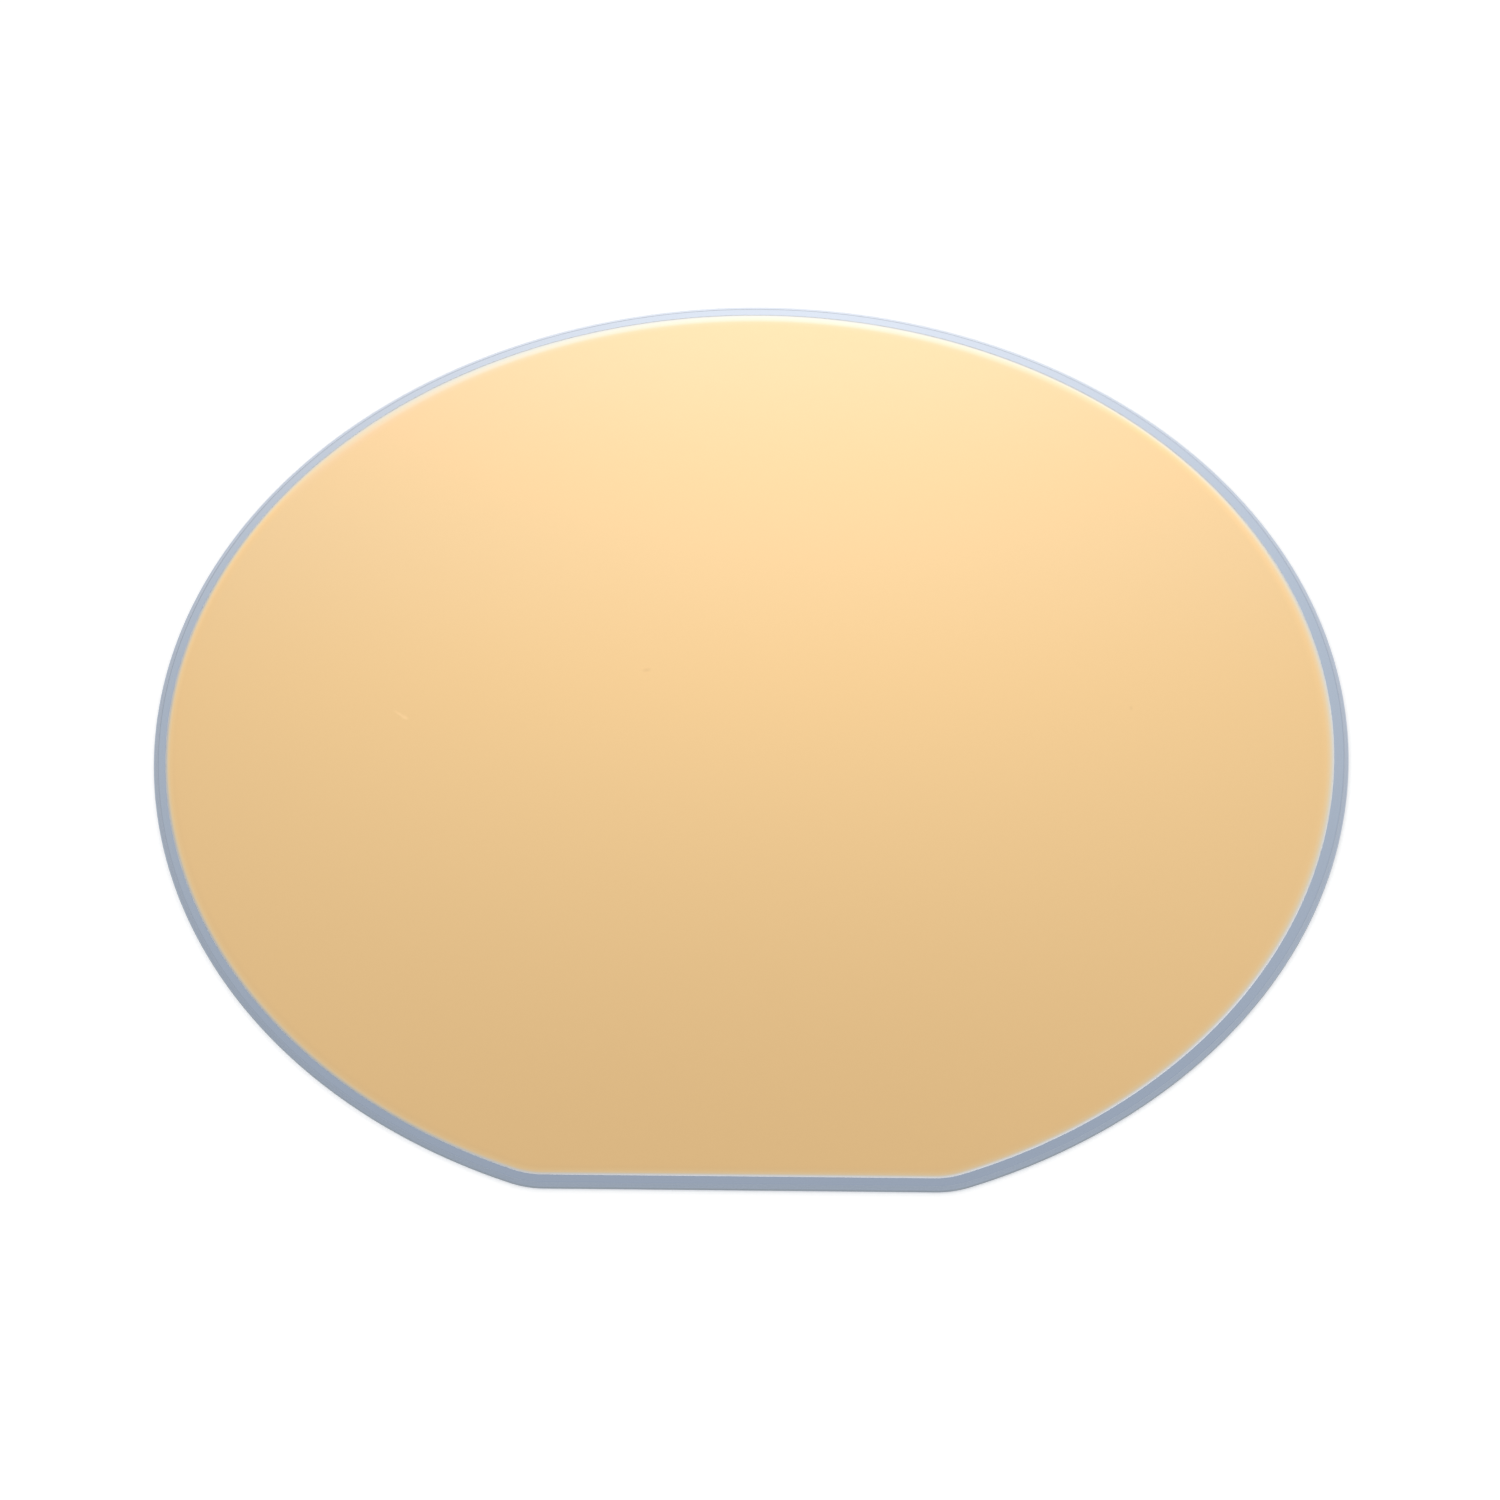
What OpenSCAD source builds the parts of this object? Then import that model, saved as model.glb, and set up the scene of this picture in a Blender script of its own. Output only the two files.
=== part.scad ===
// A round silicon wafer with one flat, and a coloured film on its front face.
// The wafer's axis is Z, its back face lies at z = 0, and its flat faces -Y.

/* [Wafer] */
// Diameter of the wafer
wafer_d = 100; // [80:1:150]
// Thickness of the silicon
wafer_t = 0.525; // [0.5:0.005:1]
// How far the flat is cut in from the full circle: 2.72 makes a flat 32.5 long
flat_depth = 2.72; // [1:0.01:4]
// Radius that blends each end of the flat into the circle
flat_blend_r = 7.5; // [7.5:0.1:15]

/* [Ground edge] */
// How far each bevel reaches in from the rounded nose
bevel_run = 0.2925; // [0.2:0.0025:0.5]
// How far each bevel falls from its face before the nose begins
bevel_fall = 0.11; // [0.05:0.005:0.14]
// Radius of the nose, which rounds each bevel into the upright land
nose_r = 0.1; // [0.05:0.01:0.1]

/* [Film] */
// Width of bare silicon between the edge and the film
film_margin = 1.15; // [0.5:0.05:2]
// Thickness of the film
film_t = 0.02; // [0.005:0.005:0.1]
// Width over which the film thins out to nothing at its border
film_taper_w = 0.45; // [0.1:0.05:0.8]

/* [Hidden] */
$fn = 180;

silicon_colour = [0.62, 0.67, 0.74];
film_colour = [0.95, 0.80, 0.58];

wafer_r = wafer_d / 2;
flat_reach = wafer_r - flat_depth;

// Centre of the right-hand blend: it touches the circle and the flat from inside
blend_x = sqrt(pow(wafer_r - flat_blend_r, 2) - pow(flat_reach - flat_blend_r, 2));
blend_y = flat_blend_r - flat_reach;

// Round core under the sections: it laps past the blends' centres by this much
core_lap = 0.5;
core_r = wafer_r - flat_blend_r + core_lap;

// Where the nose meets the bevel and the land, from the slope of the bevel
bevel_l = sqrt(pow(bevel_run, 2) + pow(bevel_fall, 2));
nose_run = nose_r * (1 - bevel_fall / bevel_l);
nose_z = bevel_fall + nose_r * bevel_run / bevel_l;

// Everything inside these corners of the plan, well past both faces of the wafer
module plan_wedge(corners) {
    translate([0, 0, -wafer_t])
        linear_extrude(height = 3 * wafer_t)
            polygon(corners);
}

// Carries a half section, given as children(), round the whole outline. It reaches
// out from x = 0 to $reach: it turns about the wafer's axis for the circle, about
// the centre of each blend, and runs straight between those centres for the flat.
// inset sets the outline back from the edge of the wafer.
module follow_outline(inset, thickness) {
    cylinder(r = core_r, h = thickness);
    difference() {
        rotate_extrude()
            let ($reach = wafer_r - inset) children();
        plan_wedge([[0, 0], [-3 * blend_x, 3 * blend_y], [3 * blend_x, 3 * blend_y]]);
    }
    for (side = [0, 1])
        mirror([side, 0, 0])
            intersection() {
                translate([blend_x, blend_y, 0])
                    rotate_extrude()
                        let ($reach = flat_blend_r - inset) children();
                plan_wedge([
                    [blend_x, blend_y],
                    [blend_x, 3 * blend_y],
                    [3 * blend_x, 3 * blend_y]
                ]);
            }
    translate([-blend_x, blend_y, 0])
        rotate([90, 0, 90])
            linear_extrude(height = 2 * blend_x)
                mirror([1, 0, 0])
                    let ($reach = flat_blend_r - inset) children();
}

// Half section of the silicon: two faces, two bevels, two rounded noses and the land
module ground_section() {
    polygon([
        [0, 0],
        [$reach - nose_run - bevel_run, 0],
        [$reach - nose_run, bevel_fall],
        [$reach, nose_z],
        [$reach, wafer_t - nose_z],
        [$reach - nose_run, wafer_t - bevel_fall],
        [$reach - nose_run - bevel_run, wafer_t],
        [0, wafer_t]
    ]);
    for (z = [nose_z, wafer_t - nose_z])
        translate([$reach - nose_r, z])
            circle(r = nose_r, $fn = 24);
}

// Half section of the film: a flat top that slopes down to the silicon at its border
module film_section() {
    polygon([
        [0, 0],
        [$reach, 0],
        [$reach - film_taper_w, film_t],
        [0, film_t]
    ]);
}

module silicon_substrate() {
    color(silicon_colour)
        follow_outline(0, wafer_t)
            ground_section();
}

module front_film() {
    color(film_colour)
        translate([0, 0, wafer_t])
            follow_outline(film_margin, film_t)
                film_section();
}

silicon_substrate();
front_film();
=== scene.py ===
import math

import bpy
import numpy as np
from mathutils import Matrix, Vector


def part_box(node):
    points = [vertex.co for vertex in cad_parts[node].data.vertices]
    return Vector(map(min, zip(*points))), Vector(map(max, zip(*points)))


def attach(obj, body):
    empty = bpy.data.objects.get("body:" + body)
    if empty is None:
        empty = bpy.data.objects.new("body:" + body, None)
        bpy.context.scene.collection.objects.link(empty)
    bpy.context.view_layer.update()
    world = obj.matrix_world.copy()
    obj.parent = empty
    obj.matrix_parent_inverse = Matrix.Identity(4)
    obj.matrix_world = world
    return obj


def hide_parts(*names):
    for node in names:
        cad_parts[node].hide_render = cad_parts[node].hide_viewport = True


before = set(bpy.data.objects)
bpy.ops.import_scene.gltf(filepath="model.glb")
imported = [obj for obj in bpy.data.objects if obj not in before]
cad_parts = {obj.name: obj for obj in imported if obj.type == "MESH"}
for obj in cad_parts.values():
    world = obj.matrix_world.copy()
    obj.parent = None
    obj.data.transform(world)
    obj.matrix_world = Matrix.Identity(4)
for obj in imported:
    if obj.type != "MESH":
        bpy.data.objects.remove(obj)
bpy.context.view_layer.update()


# ---- the silicon ------------------------------------------------------------------------
# A slice of single-crystal silicon, 100 mm across, with one flat ground along a crystal
# direction and its corners blended. The rim is ground to a blunt nose and then etched,
# the front is polished like a mirror, and the back keeps the matt skin of its acid etch.

MM = 0.001
slice_low, slice_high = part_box("silicon_substrate")
RIM_RADIUS = slice_high.y / MM
SILICON_TOP = slice_high.z / MM
CORNER_RADIUS = 7.5
corner_y = slice_low.y / MM + CORNER_RADIUS
corner_x = math.sqrt((RIM_RADIUS - CORNER_RADIUS) ** 2 - corner_y ** 2)


def rim_stations(on_round, on_corner, on_flat):
    """Stations round the rim, anticlockwise, starting where the round part leaves the right
    corner. Each has an anchor point, an outward unit vector and a reach, and a point that
    lies s inside the rim is anchor + outward * (reach - s). On the round the anchor is the
    wafer's centre. On a corner it is the corner's own centre, and along the flat it slides
    from one corner's centre to the other's. All lengths are in millimetres."""
    leave = math.atan2(corner_y, corner_x)
    down = 1.5 * math.pi
    turn = np.concatenate([
        np.linspace(leave, math.pi - leave, on_round, endpoint=False),
        np.linspace(math.pi - leave, down, on_corner, endpoint=False),
        np.full(on_flat, down),
        np.linspace(down, 2 * math.pi + leave, on_corner, endpoint=False),
    ])
    anchor_x = np.concatenate([
        np.zeros(on_round),
        np.full(on_corner, -corner_x),
        np.linspace(-corner_x, corner_x, on_flat, endpoint=False),
        np.full(on_corner, corner_x),
    ])
    below = 2 * on_corner + on_flat
    anchor_y = np.concatenate([np.zeros(on_round), np.full(below, corner_y)])
    reach = np.concatenate([np.full(on_round, RIM_RADIUS), np.full(below, CORNER_RADIUS)])
    anchor = np.stack([anchor_x, anchor_y], axis=1)
    outward = np.stack([np.cos(turn), np.sin(turn)], axis=1)
    return anchor, outward, reach


def carried_round(stations, inset, shrink, height):
    """The grid of points (i, j) = shrink_j * (anchor_i + outward_i * (reach_i - inset_j)) at
    height_j: a profile of insets and heights carried round the rim. Rows with a shrink below
    one are smaller copies of a row, which close in on the middle of a face."""
    anchor, outward, reach = stations
    depth = reach[:, None] - inset[None, :]
    plan = anchor[:, None, :] + outward[:, None, :] * depth[:, :, None]
    plan = plan * shrink[None, :, None]
    level = np.broadcast_to(height[None, :, None], plan.shape[:2] + (1,))
    return np.concatenate([plan, level], axis=2)


def rim_map(grid):
    """The map values of a closed disc, face by face: u is the way round the rim along the
    middle row, and v the way over the profile, both in metres. Each triangle of a fan has
    its pole at the middle of its own stretch of u."""
    columns, rows = grid.shape[:2]
    middle = grid[:, rows // 2, :2]
    step = np.linalg.norm(np.roll(middle, -1, axis=0) - middle, axis=1)
    along_rim = np.concatenate([[0.0], np.cumsum(step)]) * MM
    rise = np.linalg.norm(np.diff(grid[0], axis=0), axis=1)
    over = np.concatenate([[0.0], np.cumsum(rise)]) * MM
    near, far = along_rim[:-1, None], along_rim[1:, None]
    low, high = over[None, :-1], over[None, 1:]
    corners = [(near, low), (near, high), (far, high), (far, low)]
    flat_corners = [np.broadcast_to(c, (columns, rows - 1)) for corner in corners for c in corner]
    quads = np.stack(flat_corners, axis=2)
    start, end = along_rim[:-1], along_rim[1:]
    half = (start + end) / 2
    none, full = np.zeros(columns), np.full(columns, over[-1])
    top_fan = np.stack([half, none, start, none, end, none], axis=1)
    end_fan = np.stack([half, full, end, full, start, full], axis=1)
    return np.concatenate([quads.ravel(), top_fan.ravel(), end_fan.ravel()])


def closed_disc(name, grid, inset):
    """A closed mesh from a grid whose columns go round the rim and whose rows run over the
    profile. Column n is joined to column 0, and a fan closes each end of the profile at a
    pole. It carries the map 'rim' and the attribute 'inside', which says how far in from the
    rim a point lies, in millimetres."""
    columns, rows = grid.shape[:2]
    poles = np.array([[0.0, 0.0, grid[0, 0, 2]], [0.0, 0.0, grid[0, -1, 2]]])
    points = np.concatenate([grid.reshape(-1, 3), poles]) * MM
    top_pole, end_pole = columns * rows, columns * rows + 1
    this = np.arange(columns) * rows
    after = np.roll(this, -1)
    row = np.arange(rows - 1)
    here, there = this[:, None] + row[None, :], after[:, None] + row[None, :]
    quads = np.stack([here, here + 1, there + 1, there], axis=2).reshape(-1, 4)
    last = rows - 1
    top_fan = np.stack([np.full(columns, top_pole), this, after], axis=1)
    end_fan = np.stack([np.full(columns, end_pole), after + last, this + last], axis=1)
    mesh = bpy.data.meshes.new(name)
    mesh.from_pydata(points.tolist(), [], quads.tolist() + top_fan.tolist() + end_fan.tolist())
    mesh.polygons.foreach_set("use_smooth", np.ones(len(mesh.polygons), dtype=bool))
    way = mesh.uv_layers.new(name="rim")
    way.data.foreach_set("uv", rim_map(grid).astype(np.float32))
    inside = mesh.attributes.new("inside", "FLOAT", "POINT")
    depth = np.concatenate([np.tile(inset, columns), [inset[0], inset[-1]]])
    inside.data.foreach_set("value", depth.astype(np.float32))
    mesh.update()
    disc = bpy.data.objects.new(name, mesh)
    bpy.context.scene.collection.objects.link(disc)
    return disc


# The half section, from the middle of the front over the rim to the middle of the back: a
# polished front that falls away slightly in its bare margin, a bevel, the ground nose, a
# short upright land, and a nose and a bevel again below. Lengths are in millimetres.
MARGIN = 1.15
ROLL_OFF = 0.018
BEVEL_RUN = 0.2925
BEVEL_FALL = 0.11
NOSE_RADIUS = 0.1

# How finely the mesh is drawn: stations round the rim, and rows over the section. On a face,
# smaller copies of its first step close in on the middle, at sizes in the range FACE_SHRINK.
ROUND_STATIONS = 1000
CORNER_STATIONS = 24
FLAT_STATIONS = 48
FACE_ROWS = 6
FACE_SHRINK = (0.15, 0.9)
FACE_STEPS = [3.0, 2.2, 1.6, 1.25]
MARGIN_ROWS = 9
BEVEL_SHARES = np.array([0.04, 0.25, 0.5, 0.75, 0.96, 1.0])
NOSE_ROWS = 6


def face_profile(steps):
    """The insets and the shrinks of a face's rows, from near its middle outwards: a few
    smaller copies of the first step, and then every step at full size."""
    inset = np.array([steps[0]] * FACE_ROWS + steps)
    shrink = np.concatenate([np.linspace(*FACE_SHRINK, FACE_ROWS), np.ones(len(steps))])
    return inset, shrink


bevel_slope = math.hypot(BEVEL_RUN, BEVEL_FALL)
nose_reach = NOSE_RADIUS * (1.0 - BEVEL_FALL / bevel_slope)
nose_depth = BEVEL_FALL + NOSE_RADIUS * BEVEL_RUN / bevel_slope
bevel_start = nose_reach + BEVEL_RUN
margin_low = SILICON_TOP - ROLL_OFF

face_inset, face_shrink = face_profile(FACE_STEPS)
margin_inset = np.linspace(MARGIN, bevel_start, MARGIN_ROWS)
bevel_inset = bevel_start - BEVEL_RUN * BEVEL_SHARES
bevel_tilt = math.atan2(BEVEL_FALL, BEVEL_RUN)
nose_tilt = np.linspace(bevel_tilt, math.pi / 2, NOSE_ROWS + 1)[1:]
nose_inset = NOSE_RADIUS * (1.0 - np.sin(nose_tilt))
nose_fall = nose_depth - NOSE_RADIUS * np.cos(nose_tilt)

half_inset = np.concatenate([face_inset, margin_inset, bevel_inset, nose_inset])
half_shrink = np.concatenate([face_shrink, np.ones(len(half_inset) - len(face_shrink))])
upper_height = np.concatenate([
    np.full(len(face_inset), SILICON_TOP),
    np.linspace(SILICON_TOP, margin_low, len(margin_inset)),
    margin_low + (SILICON_TOP - BEVEL_FALL - margin_low) * BEVEL_SHARES,
    SILICON_TOP - nose_fall,
])
lower_height = np.concatenate([
    np.zeros(len(face_inset) + len(margin_inset)),
    BEVEL_FALL * BEVEL_SHARES,
    nose_fall,
])
silicon_inset = np.concatenate([half_inset, half_inset[::-1]])
silicon_shrink = np.concatenate([half_shrink, half_shrink[::-1]])
silicon_height = np.concatenate([upper_height, lower_height[::-1]])

stations = rim_stations(ROUND_STATIONS, CORNER_STATIONS, FLAT_STATIONS)
silicon_grid = carried_round(stations, silicon_inset, silicon_shrink, silicon_height)
silicon = closed_disc("silicon_slice", silicon_grid, silicon_inset)


def new_finish(name, plain_colour):
    """A metal-like material with that colour for the viewport, with its node tree, its
    shader, and the place of each point in metres from the wafer's origin."""
    finish = bpy.data.materials.new(name)
    finish.use_nodes = True
    finish.diffuse_color = (*plain_colour, 1.0)
    tree = finish.node_tree
    shader = tree.nodes["Principled BSDF"]
    shader.inputs["Metallic"].default_value = 1.0
    place = tree.nodes.new("ShaderNodeTexCoord").outputs["Object"]
    return finish, tree, shader, place


def noise(tree, source, scale, detail, stretch=(1.0, 1.0, 1.0)):
    """Noise over a coordinate in metres: scale is its waves per metre, and stretch
    multiplies each axis before that."""
    stretched = tree.nodes.new("ShaderNodeMapping")
    stretched.inputs["Scale"].default_value = stretch
    tree.links.new(source, stretched.inputs["Vector"])
    pattern = tree.nodes.new("ShaderNodeTexNoise")
    pattern.inputs["Scale"].default_value = scale
    pattern.inputs["Detail"].default_value = detail
    tree.links.new(stretched.outputs["Vector"], pattern.inputs["Vector"])
    return pattern.outputs["Fac"]


RISING = (0.0, 1.0)
FALLING = (1.0, 0.0)


def between(tree, factor, results, limits=(0.0, 1.0), easing="LINEAR"):
    """A number that goes from the first result to the second as the factor goes from the
    first limit to the second, and that stays level beyond them."""
    step = tree.nodes.new("ShaderNodeMapRange")
    step.interpolation_type = easing
    step.inputs["From Min"].default_value, step.inputs["From Max"].default_value = limits
    step.inputs["To Min"].default_value, step.inputs["To Max"].default_value = results
    tree.links.new(factor, step.inputs["Value"])
    return step.outputs["Result"]


def along(tree, place, heading):
    """How far each point lies from the middle along a level heading, in metres; the heading
    is in degrees, anticlockwise from +X."""
    reach = tree.nodes.new("ShaderNodeVectorMath")
    reach.operation = "DOT_PRODUCT"
    turn = math.radians(heading)
    reach.inputs[1].default_value = (math.cos(turn), math.sin(turn), 0.0)
    tree.links.new(place, reach.inputs[0])
    return reach.outputs["Value"]


def from_rim(tree):
    """How far in from its rim each point of a piece lies, in millimetres."""
    attribute = tree.nodes.new("ShaderNodeAttribute")
    attribute.attribute_name = "inside"
    return attribute.outputs["Fac"]


def combined(tree, operation, first, second):
    """The two numbers combined by that operation; the second may be a plain number."""
    both = tree.nodes.new("ShaderNodeMath")
    both.operation = operation
    tree.links.new(first, both.inputs[0])
    if isinstance(second, float):
        both.inputs[1].default_value = second
    else:
        tree.links.new(second, both.inputs[1])
    return both.outputs["Value"]


def colours(tree, factor, stops):
    """A colour read off a smooth row of stops, each a place from 0 to 1 and a colour."""
    ramp = tree.nodes.new("ShaderNodeValToRGB")
    ramp.color_ramp.interpolation = "EASE"
    while len(ramp.color_ramp.elements) < len(stops):
        ramp.color_ramp.elements.new(0.5)
    for element, (stop, colour) in zip(ramp.color_ramp.elements, stops):
        element.position = stop
        element.color = (*colour, 1.0)
    tree.links.new(factor, ramp.inputs["Fac"])
    return ramp.outputs["Color"]


def blended(tree, factor, first, second):
    """The first colour where the factor is 0, the second where it is 1; a colour is three
    numbers or a socket."""
    mix = tree.nodes.new("ShaderNodeMix")
    mix.data_type = "RGBA"
    tree.links.new(factor, mix.inputs["Factor"])
    for socket, colour in (("A", first), ("B", second)):
        if isinstance(colour, tuple):
            mix.inputs[socket].default_value = (*colour, 1.0)
        else:
            tree.links.new(colour, mix.inputs[socket])
    return mix.outputs["Result"]


def relief(tree, shader, height, strength, distance):
    """Bump of that strength, with that many metres between its lowest and highest points."""
    bump = tree.nodes.new("ShaderNodeBump")
    bump.inputs["Strength"].default_value = strength
    bump.inputs["Distance"].default_value = distance
    tree.links.new(height, bump.inputs["Height"])
    tree.links.new(bump.outputs["Normal"], shader.inputs["Normal"])


# In the finishes a span is where a share runs from none to all along a heading: the heading
# in degrees, the span in metres from the middle. Scales are waves per metre.
POLISHED_COLOUR = (0.42, 0.49, 0.59)
POLISHED_PAINTED_LIGHT_HEADING = 98.0
POLISHED_PAINTED_LIGHT_SPAN = (-0.048, 0.05)
# Painted light: the polished tones run lighter towards the side away from the flat.
POLISHED_TONES_WITH_PAINTED_LIGHT = [
    (0.0, (0.410, 0.482, 0.604)),
    (0.5, (0.440, 0.508, 0.612)),
    (1.0, (0.500, 0.544, 0.620)),
]
HAZE_SCALE = 900.0
HAZE_DETAIL = 3.0
HAZE_ROUGHNESS = (0.06, 0.11)


def polished_finish():
    """A blue-grey mirror with a trace of haze, painted a shade lighter on the side away from
    the flat: painted light, for the brighter reflection on that side."""
    finish, tree, shader, place = new_finish("polished silicon", POLISHED_COLOUR)
    # Painted light: lighter towards the side away from the flat.
    far_side_painted_light = between(tree, along(tree, place, POLISHED_PAINTED_LIGHT_HEADING), RISING, POLISHED_PAINTED_LIGHT_SPAN)
    tree.links.new(colours(tree, far_side_painted_light, POLISHED_TONES_WITH_PAINTED_LIGHT), shader.inputs["Base Color"])
    haze = noise(tree, place, HAZE_SCALE, HAZE_DETAIL)
    tree.links.new(between(tree, haze, HAZE_ROUGHNESS), shader.inputs["Roughness"])
    return finish


GROUND_COLOUR = (0.40, 0.46, 0.54)
GROUND_NEAR_TONES = [(0.3, (0.384, 0.454, 0.560)), (0.7, (0.422, 0.492, 0.598))]
# Painted reflection: the far tones paint the rim near white on the side away from the flat.
GROUND_PAINTED_REFLECTION_TONES = [(0.3, (0.715, 0.765, 0.855)), (0.7, (0.765, 0.815, 0.905))]
GROUND_PAINTED_REFLECTION_HEADING = 90.0
GROUND_PAINTED_REFLECTION_SPAN = (-0.085, 0.050)
GROUND_PAINTED_REFLECTION_POWER = 2.4
GROUND_ROUGHNESS = (0.30, 0.42)
GRIT_SCALE = 9000.0
GRIT_DETAIL = 2.0
LINES_STRETCH = (600.0, 40000.0, 1.0)
LINES_SCALE = 1.0
LINES_DETAIL = 4.0
LINES_STRENGTH = 0.4
LINES_DEPTH = 0.000002
# The land's painted shade, for the lower edge in shadow, fades out over this distance in
# from the rim, in millimetres.
LAND_PAINTED_SHADE_TONE = (0.280, 0.322, 0.368)
LAND_PAINTED_SHADE_EDGE = (0.005, 0.040)


def ground_finish():
    """Satin grey with fine grit and with grinding lines that run round the rim. It is painted
    lighter on the side away from the flat, a painted reflection of the bright room, by a
    share that rises with a power of how far away a point lies, and painted darker on the
    upright land, a painted shade of the lower edge."""
    finish, tree, shader, place = new_finish("ground silicon", GROUND_COLOUR)
    way = tree.nodes.new("ShaderNodeUVMap")
    way.uv_map = "rim"
    grit = noise(tree, way.outputs["UV"], GRIT_SCALE, GRIT_DETAIL)
    lines = noise(tree, way.outputs["UV"], LINES_SCALE, LINES_DETAIL, LINES_STRETCH)
    near_tone = colours(tree, grit, GROUND_NEAR_TONES)
    far_painted_light_tone = colours(tree, grit, GROUND_PAINTED_REFLECTION_TONES)
    # Painted reflection: lighter towards the side away from the flat.
    far_side_painted_light = between(tree, along(tree, place, GROUND_PAINTED_REFLECTION_HEADING), RISING, GROUND_PAINTED_REFLECTION_SPAN)
    far_painted_light_share = combined(tree, "POWER", far_side_painted_light, GROUND_PAINTED_REFLECTION_POWER)
    tone = blended(tree, far_painted_light_share, near_tone, far_painted_light_tone)
    # Painted shade on the upright land.
    land_painted_shade_share = between(tree, from_rim(tree), FALLING, LAND_PAINTED_SHADE_EDGE)
    tone = blended(tree, land_painted_shade_share, tone, LAND_PAINTED_SHADE_TONE)
    tree.links.new(tone, shader.inputs["Base Color"])
    tree.links.new(between(tree, grit, GROUND_ROUGHNESS), shader.inputs["Roughness"])
    relief(tree, shader, lines, LINES_STRENGTH, LINES_DEPTH)
    return finish


ETCHED_COLOUR = (0.34, 0.37, 0.41)
ETCHED_TONES = [(0.3, (0.325, 0.360, 0.400)), (0.7, (0.355, 0.386, 0.426))]
ETCHED_ROUGHNESS = (0.42, 0.56)
CLOUD_SCALE = 60.0
CLOUD_DETAIL = 4.0
DIMPLE_SCALE = 2400.0
DIMPLE_STRENGTH = 0.5
DIMPLE_DEPTH = 0.000010


def etched_finish():
    """Matt grey, slightly clouded, with the shallow dimples that the etch leaves."""
    finish, tree, shader, place = new_finish("etched silicon", ETCHED_COLOUR)
    dimples = tree.nodes.new("ShaderNodeTexVoronoi")
    dimples.feature = "SMOOTH_F1"
    dimples.inputs["Scale"].default_value = DIMPLE_SCALE
    tree.links.new(place, dimples.inputs["Vector"])
    depth = dimples.outputs["Distance"]
    clouds = noise(tree, place, CLOUD_SCALE, CLOUD_DETAIL)
    tree.links.new(colours(tree, clouds, ETCHED_TONES), shader.inputs["Base Color"])
    tree.links.new(between(tree, depth, ETCHED_ROUGHNESS), shader.inputs["Roughness"])
    relief(tree, shader, depth, DIMPLE_STRENGTH, DIMPLE_DEPTH)
    return finish


# The rows of the profile say which finish a face has. Those within the bevels are polished
# in front and etched behind, and the others are ground.
POLISHED, GROUND, ETCHED = 0, 1, 2
for finish in (polished_finish(), ground_finish(), etched_finish()):
    silicon.data.materials.append(finish)
columns, rows = silicon_grid.shape[:2]
rows_to_bevel = len(face_inset) + len(margin_inset) - 1
row_finish = np.full(rows - 1, GROUND, dtype=np.int32)
row_finish[:rows_to_bevel] = POLISHED
row_finish[-rows_to_bevel:] = ETCHED
fan_finish = np.repeat(np.array([POLISHED, ETCHED], dtype=np.int32), columns)
face_finish = np.concatenate([np.tile(row_finish, columns), fan_finish])
silicon.data.polygons.foreach_set("material_index", face_finish)
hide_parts("silicon_substrate")
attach(silicon, "root")


# ---- the film ---------------------------------------------------------------------------
# A thin gold-coloured film laid on the polished front, a touch off centre. It stops about
# 1.1 mm short of the rim and thins out towards its border, where its colour runs through
# pale straw to silver.

FILM_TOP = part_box("front_film")[1].z / MM
FILM_SHOULDER = 1.0
FILM_MARGIN = 1.10
FILM_SHIFT = (-0.11, -0.05)
FILM_STEPS = [3.0, 2.0, 1.5, 1.2]
SHOULDER_ROWS = 13

# Over the shoulder the film falls from its top to the silicon as the square of the way out.
shoulder = np.linspace(1.0, 0.0, SHOULDER_ROWS)
shoulder_height = FILM_TOP - (FILM_TOP - SILICON_TOP) * (1.0 - shoulder) ** 2
wide_inset, wide_shrink = face_profile(FILM_STEPS)
film_inset = np.concatenate([wide_inset, FILM_SHOULDER * shoulder, wide_inset[::-1]])
film_shrink = np.concatenate([wide_shrink, np.ones(len(shoulder)), wide_shrink[::-1]])
film_height = np.concatenate([
    np.full(len(wide_inset), FILM_TOP),
    shoulder_height,
    np.full(len(wide_inset), SILICON_TOP),
])
film_grid = carried_round(stations, film_inset + FILM_MARGIN, film_shrink, film_height)
film_grid[:, :, :2] += FILM_SHIFT
film = closed_disc("gold_toned_film", film_grid, film_inset)


# The film's tones. Those of its face go from the flat's side to the side away from it, and
# those of its border go inwards from the silver line. A span lies along a heading, in metres
# from the middle. An end and the silver line are in millimetres in from the border.
FACE_HEADING = 90.0
FACE_SPAN = (-0.048, 0.048)
# Painted light: the face tones run paler towards the side away from the flat.
FACE_TONES_WITH_PAINTED_LIGHT = [
    (0.0, (0.900, 0.600, 0.288)),
    (0.5, (0.886, 0.600, 0.296)),
    (0.75, (0.856, 0.600, 0.320)),
    (1.0, (0.866, 0.600, 0.350)),
]
NEAR_BORDER_TONES = [
    (0.00, (0.680, 0.680, 0.670)),
    (0.08, (0.790, 0.765, 0.700)),
    (0.20, (0.840, 0.715, 0.510)),
    (0.36, (0.895, 0.670, 0.395)),
    (0.60, (0.925, 0.642, 0.328)),
    (1.00, (0.905, 0.607, 0.300)),
]
NEAR_BORDER_END = (0.35, 1.1)
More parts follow.
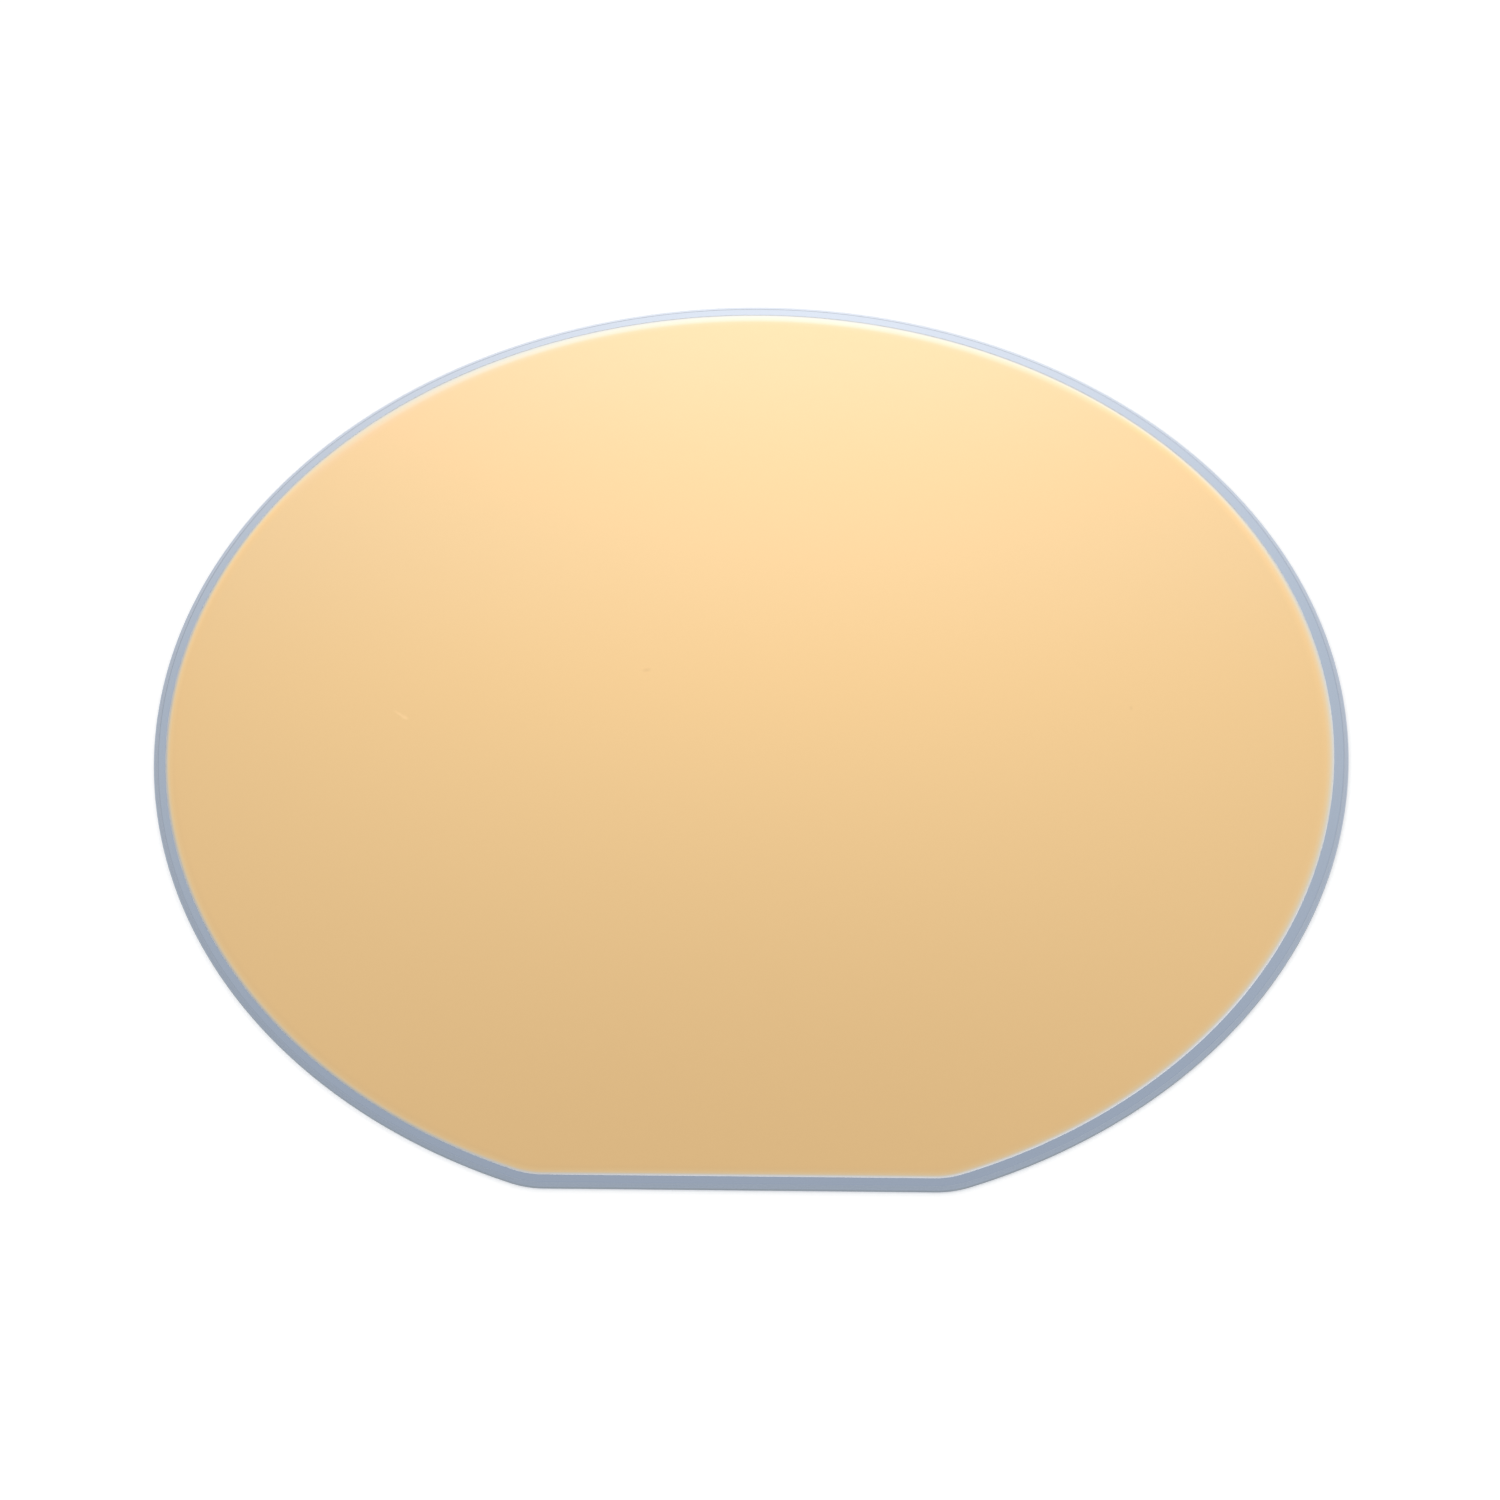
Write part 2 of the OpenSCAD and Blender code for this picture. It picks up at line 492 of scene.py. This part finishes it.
# The far border is the thinning film's colour, paled into a wide cream band by painted highlight.
FAR_BORDER_TONES_WITH_PAINTED_HIGHLIGHT = [
    (0.00, (0.620, 0.615, 0.600)),
    (0.15, (0.650, 0.645, 0.600)),
    (0.30, (0.695, 0.675, 0.580)),
    (0.60, (0.765, 0.675, 0.530)),
    (0.85, (0.840, 0.650, 0.460)),
    (1.00, (0.865, 0.630, 0.410)),
]
FAR_BORDER_END = (0.75, 1.45)
FAR_BORDER_HEADING = 98.0
FAR_BORDER_SPAN = (0.029, 0.046)
RIGHT_HEADING = 22.0
NARROWING = (1.35, 0.85)
NARROWING_SPAN = (-0.045, 0.020)
SILVER_LINE = (0.0, 0.25)
# Painted shade: the silver line is painted darker on the left and at the far right.
SILVER_LINE_PAINTED_SHADE_TONE = (0.50, 0.49, 0.47)
PAINTED_SHADE_LEFT = (0.8, 0.0)
PAINTED_SHADE_LEFT_SPAN = (-0.035, 0.0)
PAINTED_SHADE_CORNER = (0.0, 0.8)
PAINTED_SHADE_CORNER_HEADING = 45.0
PAINTED_SHADE_CORNER_SPAN = (0.036, 0.048)
# Painted highlight: the silver line is painted bright along the flat and to its right.
SILVER_LINE_PAINTED_HIGHLIGHT_TONE = (0.88, 0.90, 0.94)
PAINTED_HIGHLIGHT_SIDE = (0.0, 0.85)
PAINTED_HIGHLIGHT_HEADING = -70.0
PAINTED_HIGHLIGHT_SPAN = (0.030, 0.041)


def film_tone(tree, place):
    """The film's colour. Its face is painted a little paler away from the flat, painted light
    for the brighter reflection there. Its border is silver and then straw, over a narrow band
    that widens from left to right, and over a wide cream band on the side away from the flat,
    which is the thinning film's colour with painted highlight over it. The silver line has
    painted shade on the left and at the far right, and a painted highlight along the flat
    and to its right."""
    # Painted light: the face is paler towards the side away from the flat.
    face_painted_light_reach = along(tree, place, FACE_HEADING)
    right_reach = along(tree, place, RIGHT_HEADING)
    inside = from_rim(tree)
    face_tone_with_painted_light = colours(tree, between(tree, face_painted_light_reach, RISING, FACE_SPAN), FACE_TONES_WITH_PAINTED_LIGHT)
    narrowing = between(tree, right_reach, NARROWING, NARROWING_SPAN)
    band = combined(tree, "MULTIPLY", inside, narrowing)
    near_tone = colours(tree, band, NEAR_BORDER_TONES)
    far_painted_light_tone = colours(tree, inside, FAR_BORDER_TONES_WITH_PAINTED_HIGHLIGHT)
    near_face = between(tree, inside, RISING, NEAR_BORDER_END)
    near_tone = blended(tree, near_face, near_tone, face_tone_with_painted_light)
    far_face = between(tree, inside, RISING, FAR_BORDER_END)
    far_painted_light_tone = blended(tree, far_face, far_painted_light_tone, face_tone_with_painted_light)
    # Painted highlight: the wide cream border on the side away from the flat.
    far_side_painted_light = along(tree, place, FAR_BORDER_HEADING)
    far_painted_light_share = between(tree, far_side_painted_light, RISING, FAR_BORDER_SPAN)
    tone = blended(tree, far_painted_light_share, near_tone, far_painted_light_tone)
    # Painted shade on the silver line, on the left and at the far right.
    painted_shade_left = between(tree, right_reach, PAINTED_SHADE_LEFT, PAINTED_SHADE_LEFT_SPAN)
    corner_reach = along(tree, place, PAINTED_SHADE_CORNER_HEADING)
    painted_shade_corner = between(tree, corner_reach, PAINTED_SHADE_CORNER, PAINTED_SHADE_CORNER_SPAN)
    painted_shade_side = combined(tree, "ADD", painted_shade_left, painted_shade_corner)
    silver_line = between(tree, inside, FALLING, SILVER_LINE)
    painted_shade_share = combined(tree, "MULTIPLY", painted_shade_side, silver_line)
    tone = blended(tree, painted_shade_share, tone, SILVER_LINE_PAINTED_SHADE_TONE)
    # Painted highlight on the silver line, along the flat and to its right.
    painted_highlight_reach = along(tree, place, PAINTED_HIGHLIGHT_HEADING)
    painted_highlight_side = between(tree, painted_highlight_reach, PAINTED_HIGHLIGHT_SIDE, PAINTED_HIGHLIGHT_SPAN)
    painted_highlight_share = combined(tree, "MULTIPLY", painted_highlight_side, silver_line)
    return blended(tree, painted_highlight_share, tone, SILVER_LINE_PAINTED_HIGHLIGHT_TONE)


def streak(tree, place, middle, length, width, turn):
    """A soft spot on the film's top that is 1 at its middle and fades to 0 at half its
    length and half its width, turned by that many degrees; sizes in millimetres."""
    spot_place = tree.nodes.new("ShaderNodeMapping")
    spot_place.vector_type = "TEXTURE"
    centre = [reach * MM for reach in (*middle, FILM_TOP)]
    spot_place.inputs["Location"].default_value = centre
    spot_place.inputs["Rotation"].default_value = (0.0, 0.0, math.radians(turn))
    spot_place.inputs["Scale"].default_value = (length / 2 * MM, width / 2 * MM, 1.0)
    tree.links.new(place, spot_place.inputs["Vector"])
    spot = tree.nodes.new("ShaderNodeTexGradient")
    spot.gradient_type = "SPHERICAL"
    tree.links.new(spot_place.outputs["Vector"], spot.inputs["Vector"])
    return spot.outputs["Fac"]


# A mark's tone takes hold by a share that rises as its streak rises over the mark's fade.
SCRATCH_TURN = -39.1
SCRATCH_TONE = (0.985, 0.690, 0.355)
SCRATCH_FADE = (0.0, 0.8)
SCRATCH_SHARE = (0.0, 0.6)
PIT_TONE = (0.830, 0.550, 0.271)
PIT_FADE = (0.0, 0.7)
PIT_SHARE = (0.0, 0.7)


def marked(tree, place, tone):
    """The tone with a short scratch that lightens the film, and with two tiny pits."""
    long_part = streak(tree, place, (-29.45, 0.00), length=1.9, width=0.36, turn=SCRATCH_TURN)
    wide_part = streak(tree, place, (-29.13, -0.25), length=1.0, width=0.56, turn=SCRATCH_TURN)
    scratch = combined(tree, "MAXIMUM", long_part, wide_part)
    scratch_share = between(tree, scratch, SCRATCH_SHARE, SCRATCH_FADE)
    tone = blended(tree, scratch_share, tone, SCRATCH_TONE)
    large_pit = streak(tree, place, (-8.92, 5.24), length=0.9, width=0.6, turn=15.0)
    small_pit = streak(tree, place, (32.00, 1.40), length=0.3, width=0.6, turn=0.0)
    pits = combined(tree, "MAXIMUM", large_pit, small_pit)
    pit_share = between(tree, pits, PIT_SHARE, PIT_FADE)
    return blended(tree, pit_share, tone, PIT_TONE)


FILM_COLOUR = (0.90, 0.60, 0.30)
BLOOM_SCALE = 700.0
BLOOM_DETAIL = 3.0
BLOOM_ROUGHNESS = (0.06, 0.12)


def gold_finish():
    """A gold-coloured mirror with a faint bloom in its gloss."""
    finish, tree, shader, place = new_finish("gold-toned film", FILM_COLOUR)
    tone = marked(tree, place, film_tone(tree, place))
    tree.links.new(tone, shader.inputs["Base Color"])
    bloom = noise(tree, place, BLOOM_SCALE, BLOOM_DETAIL)
    tree.links.new(between(tree, bloom, BLOOM_ROUGHNESS), shader.inputs["Roughness"])
    return finish


film.data.materials.append(gold_finish())
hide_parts("front_film")
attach(film, "root")


# ---- the floor --------------------------------------------------------------------------
# A plain pale floor that the wafer lies on, back face down. A little light of its own makes
# it white to the camera and in the polished rim, and it keeps the soft shadow on it.

FLOOR_HALF = 3.0
FLOOR_LEVEL = -0.00001
FLOOR_COLOUR = (0.80, 0.80, 0.80, 1.0)
FLOOR_GLOW = 0.33


def floor_paint():
    """Matt pale paint, which adds its glow where the camera or a glossy ray meets it."""
    paint = bpy.data.materials.new("pale floor paint")
    paint.use_nodes = True
    tree = paint.node_tree
    tree.nodes.clear()
    matt = tree.nodes.new("ShaderNodeBsdfDiffuse")
    matt.inputs["Color"].default_value = FLOOR_COLOUR
    seen = tree.nodes.new("ShaderNodeLightPath")
    seen_by = combined(tree, "ADD", seen.outputs["Is Camera Ray"], seen.outputs["Is Glossy Ray"])
    seen_by = combined(tree, "MINIMUM", seen_by, 1.0)
    glow = tree.nodes.new("ShaderNodeEmission")
    tree.links.new(combined(tree, "MULTIPLY", seen_by, FLOOR_GLOW), glow.inputs["Strength"])
    both = tree.nodes.new("ShaderNodeAddShader")
    tree.links.new(matt.outputs["BSDF"], both.inputs[0])
    tree.links.new(glow.outputs["Emission"], both.inputs[1])
    surface = tree.nodes.new("ShaderNodeOutputMaterial")
    tree.links.new(both.outputs["Shader"], surface.inputs["Surface"])
    return paint


floor_corners = [(-FLOOR_HALF, -FLOOR_HALF), (FLOOR_HALF, -FLOOR_HALF),
                 (FLOOR_HALF, FLOOR_HALF), (-FLOOR_HALF, FLOOR_HALF)]
floor_mesh = bpy.data.meshes.new("pale_floor")
floor_mesh.from_pydata([(x, y, FLOOR_LEVEL) for x, y in floor_corners], [], [(0, 1, 2, 3)])
floor_mesh.materials.append(floor_paint())
floor = bpy.data.objects.new("pale_floor", floor_mesh)
bpy.context.scene.collection.objects.link(floor)


# ---- the light --------------------------------------------------------------------------
# A pale room, a touch brighter to the right, with a broad soft panel behind the wafer that a
# mirror shows as a glow, a brighter band low down all round, and one large soft lamp above
# that gives matt surfaces their shadow.

# Each pair of numbers for the panel and the low band is where it fades, in the x, y or z of
# a direction. Both fade towards the front, to the first share of FRONT_TO_BACK.
ROOM_LEVEL = 0.755
RIGHT_GAIN = 0.10
PANEL_LEVEL = 0.905
PANEL_TOP = (0.598, 0.853)
PANEL_FOOT = (0.45, 0.68)
PANEL_SHIFT = 0.005
PANEL_WIDTH = (0.0, 0.33)
PANEL_SIDE = (-0.2, 0.3)
LOW_LEVEL = 0.60
LOW_TOP = (0.0, 0.50)
LOW_SIDE = (-1.0, 1.0)
FRONT_TO_BACK = (0.3, 1.0)


def eased(tree, value, results, limits):
    """A number as from between, but one that eases out of its first result and into its
    second."""
    return between(tree, value, results, limits, "SMOOTHSTEP")


def room_light(tree):
    """How bright the room is in a direction (x, y, z): its level, plus the panel, which is
    high * foot * width * side of that direction, plus the low band, which is low * side,
    plus a slight gain towards the right."""
    way = tree.nodes.new("ShaderNodeTexCoord").outputs["Generated"]
    axes = tree.nodes.new("ShaderNodeSeparateXYZ")
    tree.links.new(way, axes.inputs["Vector"])
    x, y, z = axes.outputs["X"], axes.outputs["Y"], axes.outputs["Z"]
    off_middle = combined(tree, "ABSOLUTE", combined(tree, "ADD", x, PANEL_SHIFT), 0.0)
    high = eased(tree, z, FALLING, PANEL_TOP)
    foot = eased(tree, z, RISING, PANEL_FOOT)
    panel = combined(tree, "MULTIPLY", high, foot)
    width = eased(tree, off_middle, FALLING, PANEL_WIDTH)
    panel = combined(tree, "MULTIPLY", panel, width)
    side = eased(tree, y, FRONT_TO_BACK, PANEL_SIDE)
    panel = combined(tree, "MULTIPLY", panel, side)
    low = eased(tree, z, FALLING, LOW_TOP)
    low_side = eased(tree, y, FRONT_TO_BACK, LOW_SIDE)
    band = combined(tree, "MULTIPLY", low, low_side)
    panel_light = combined(tree, "MULTIPLY", panel, PANEL_LEVEL)
    band_light = combined(tree, "MULTIPLY", band, LOW_LEVEL)
    level = combined(tree, "ADD", panel_light, band_light)
    right_light = combined(tree, "MULTIPLY", x, RIGHT_GAIN)
    level = combined(tree, "ADD", level, right_light)
    return combined(tree, "ADD", level, ROOM_LEVEL)


WHITE = (1.0, 1.0, 1.0, 1.0)


def pale_room():
    """A world that the camera sees as plain white and that lights everything else."""
    room = bpy.data.worlds.new("pale room")
    room.use_nodes = True
    tree = room.node_tree
    tree.nodes.clear()
    lit = tree.nodes.new("ShaderNodeBackground")
    lit.inputs["Color"].default_value = WHITE
    tree.links.new(room_light(tree), lit.inputs["Strength"])
    white = tree.nodes.new("ShaderNodeBackground")
    white.inputs["Color"].default_value = WHITE
    white.inputs["Strength"].default_value = 1.0
    seen = tree.nodes.new("ShaderNodeLightPath")
    choice = tree.nodes.new("ShaderNodeMixShader")
    tree.links.new(seen.outputs["Is Camera Ray"], choice.inputs["Fac"])
    tree.links.new(lit.outputs["Background"], choice.inputs[1])
    tree.links.new(white.outputs["Background"], choice.inputs[2])
    surface = tree.nodes.new("ShaderNodeOutputWorld")
    tree.links.new(choice.outputs["Shader"], surface.inputs["Surface"])
    return room


bpy.context.scene.world = pale_room()

SOFTBOX_LENGTH = 0.8
SOFTBOX_WIDTH = 0.6
SOFTBOX_ENERGY = 1.6
SOFTBOX_PLACE = (-0.35, -0.30, 0.75)

softbox = bpy.data.lights.new("softbox", "AREA")
softbox.shape = "RECTANGLE"
softbox.size = SOFTBOX_LENGTH
softbox.size_y = SOFTBOX_WIDTH
softbox.energy = SOFTBOX_ENERGY
softbox_lamp = bpy.data.objects.new("softbox", softbox)
softbox_lamp.location = SOFTBOX_PLACE
aim = Vector((0.0, 0.0, 0.0)) - softbox_lamp.location
softbox_lamp.rotation_euler = aim.to_track_quat("-Z", "Y").to_euler()
softbox_lamp.visible_glossy = False
bpy.context.scene.collection.objects.link(softbox_lamp)


# ---- the camera -------------------------------------------------------------------------
# It looks down on the front from the flat's side, from well back with a long lens, so the
# round outline is drawn as an ellipse.

# Places are in metres, the lens and its sensor in millimetres, and angles in degrees: above
# the floor, round from the flat's side, and about the line of sight.
LOOK_AT = (0.00002, -0.003535, 0.000525)
CAMERA_DISTANCE = 0.3299
CAMERA_HEIGHT = 49.83
CAMERA_SIDE = 1.685
CAMERA_ROLL = -0.831
LENS_LENGTH = 94.85
SENSOR_WIDTH = 36.0
CLIP_START = 0.01

high_angle = math.radians(CAMERA_HEIGHT)
side_angle = math.radians(CAMERA_SIDE)
roll_angle = math.radians(CAMERA_ROLL)
back = Vector((
    math.sin(side_angle) * math.cos(high_angle),
    -math.cos(side_angle) * math.cos(high_angle),
    math.sin(high_angle),
))
level_right = Vector((math.cos(side_angle), math.sin(side_angle), 0.0))
right = math.cos(roll_angle) * level_right + math.sin(roll_angle) * back.cross(level_right)
up = back.cross(right)
stand = Vector(LOOK_AT) + back * CAMERA_DISTANCE
lens = bpy.data.cameras.new("camera")
lens.lens = LENS_LENGTH
lens.sensor_width = SENSOR_WIDTH
lens.clip_start = CLIP_START
camera = bpy.data.objects.new("camera", lens)
camera.matrix_world = Matrix((
    (right.x, up.x, back.x, stand.x),
    (right.y, up.y, back.y, stand.y),
    (right.z, up.z, back.z, stand.z),
    (0.0, 0.0, 0.0, 1.0),
))
bpy.context.scene.collection.objects.link(camera)
bpy.context.scene.camera = camera
bpy.context.scene.view_settings.view_transform = "Standard"
